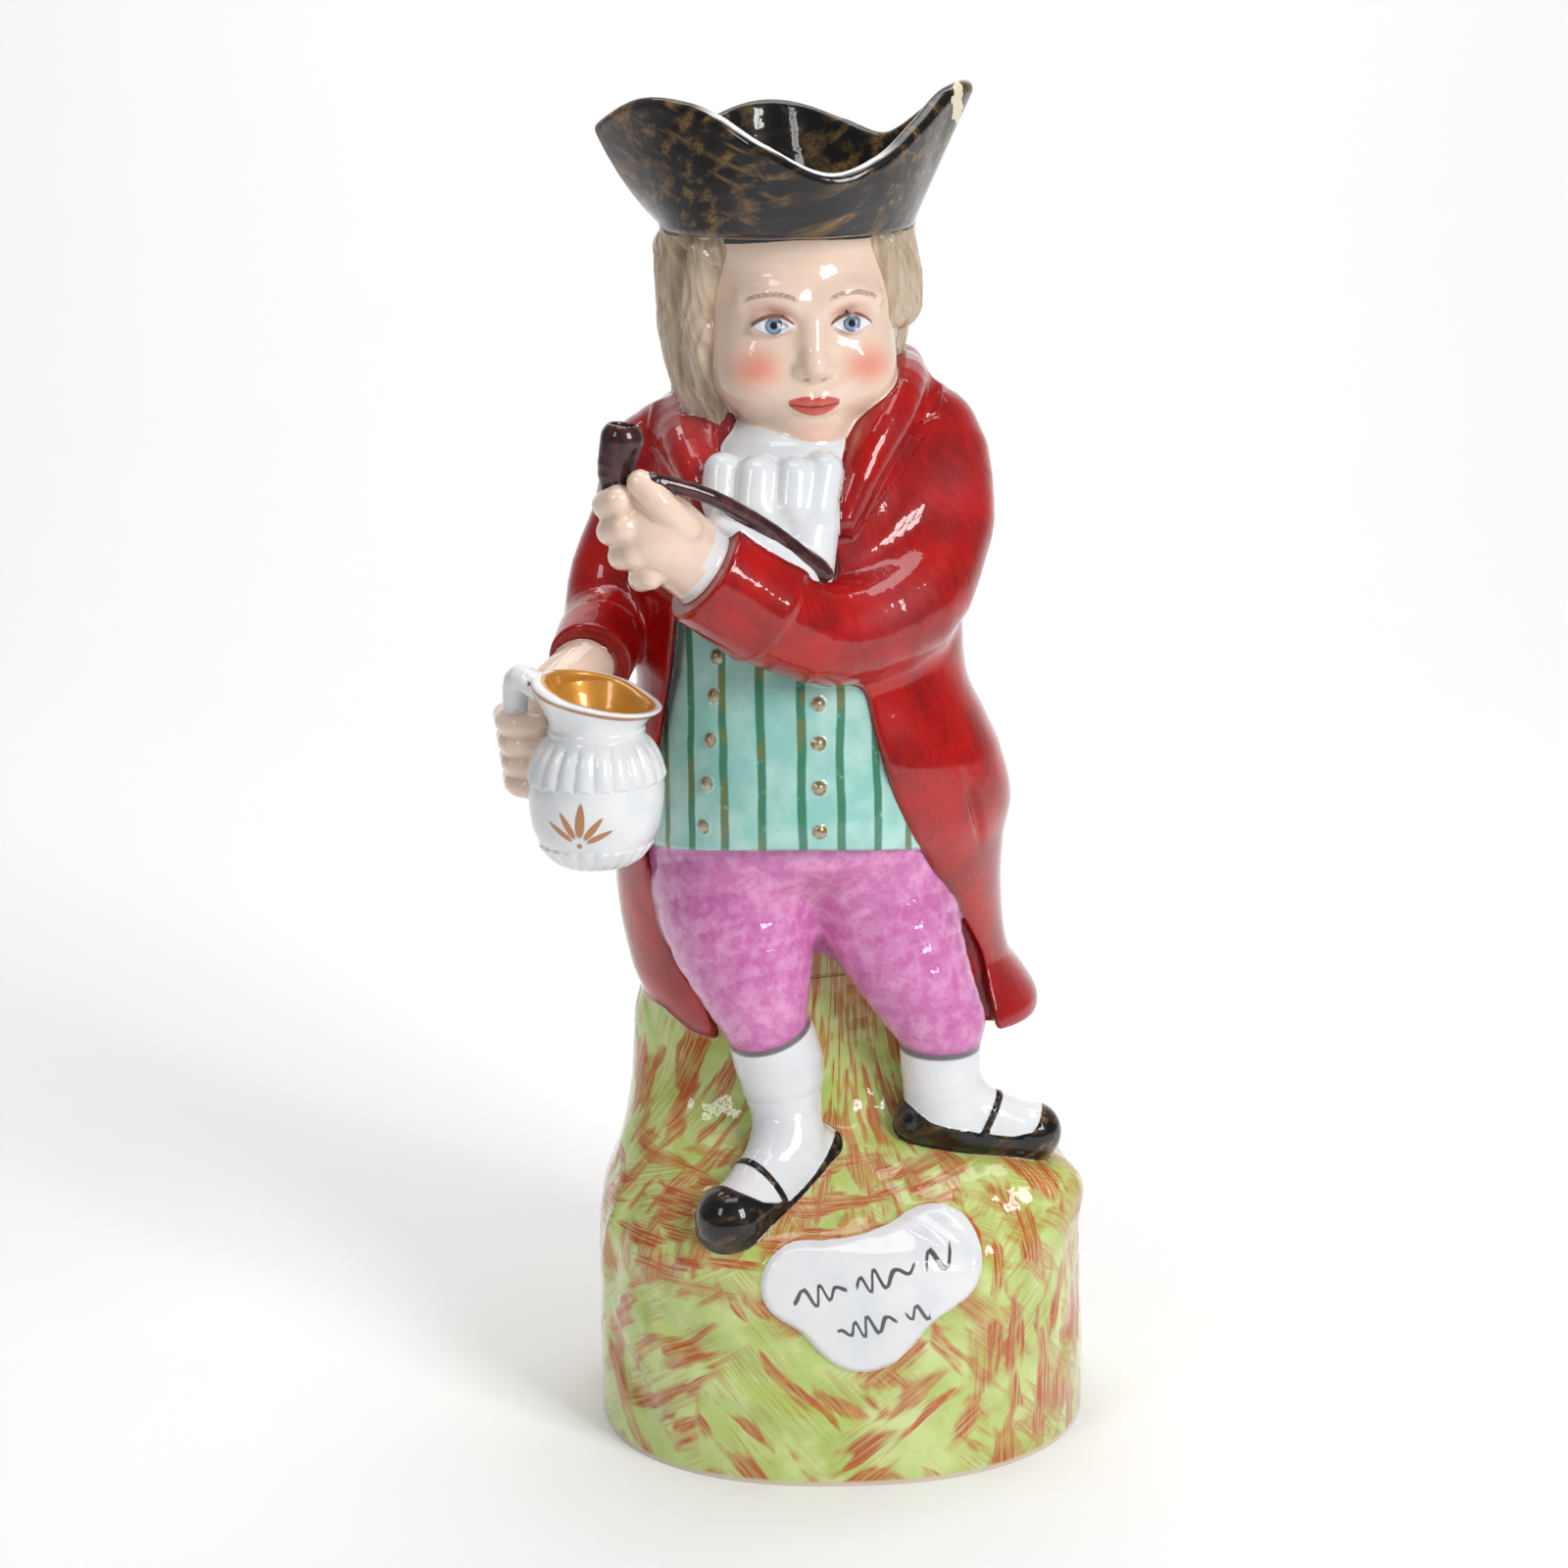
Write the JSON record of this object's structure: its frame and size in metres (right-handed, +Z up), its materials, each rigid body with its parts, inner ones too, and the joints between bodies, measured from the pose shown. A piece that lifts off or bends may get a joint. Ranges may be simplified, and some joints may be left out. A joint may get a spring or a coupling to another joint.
{
  "type": "toby jug",
  "caption": "Hollow glazed pottery jug shaped as a standing figure in a tricorn hat with a pipe and a small jug, on a rock base, with a back handle.",
  "frame": {"origin": "centre of the underside of the rock base, the face it stands on", "axes": "+Z up, -Y the figure's front, +X the figure's left hand side, to the right as seen from the front"},
  "size_m": [0.1242, 0.1158, 0.2905],
  "materials": {
    "glazed_earthenware": "clear gloss glaze over painted colours"
  },
  "bodies": {
    "root": {"toby_jug": "glazed_earthenware", "small_jug": "glazed_earthenware"}
  },
  "joints": []
}
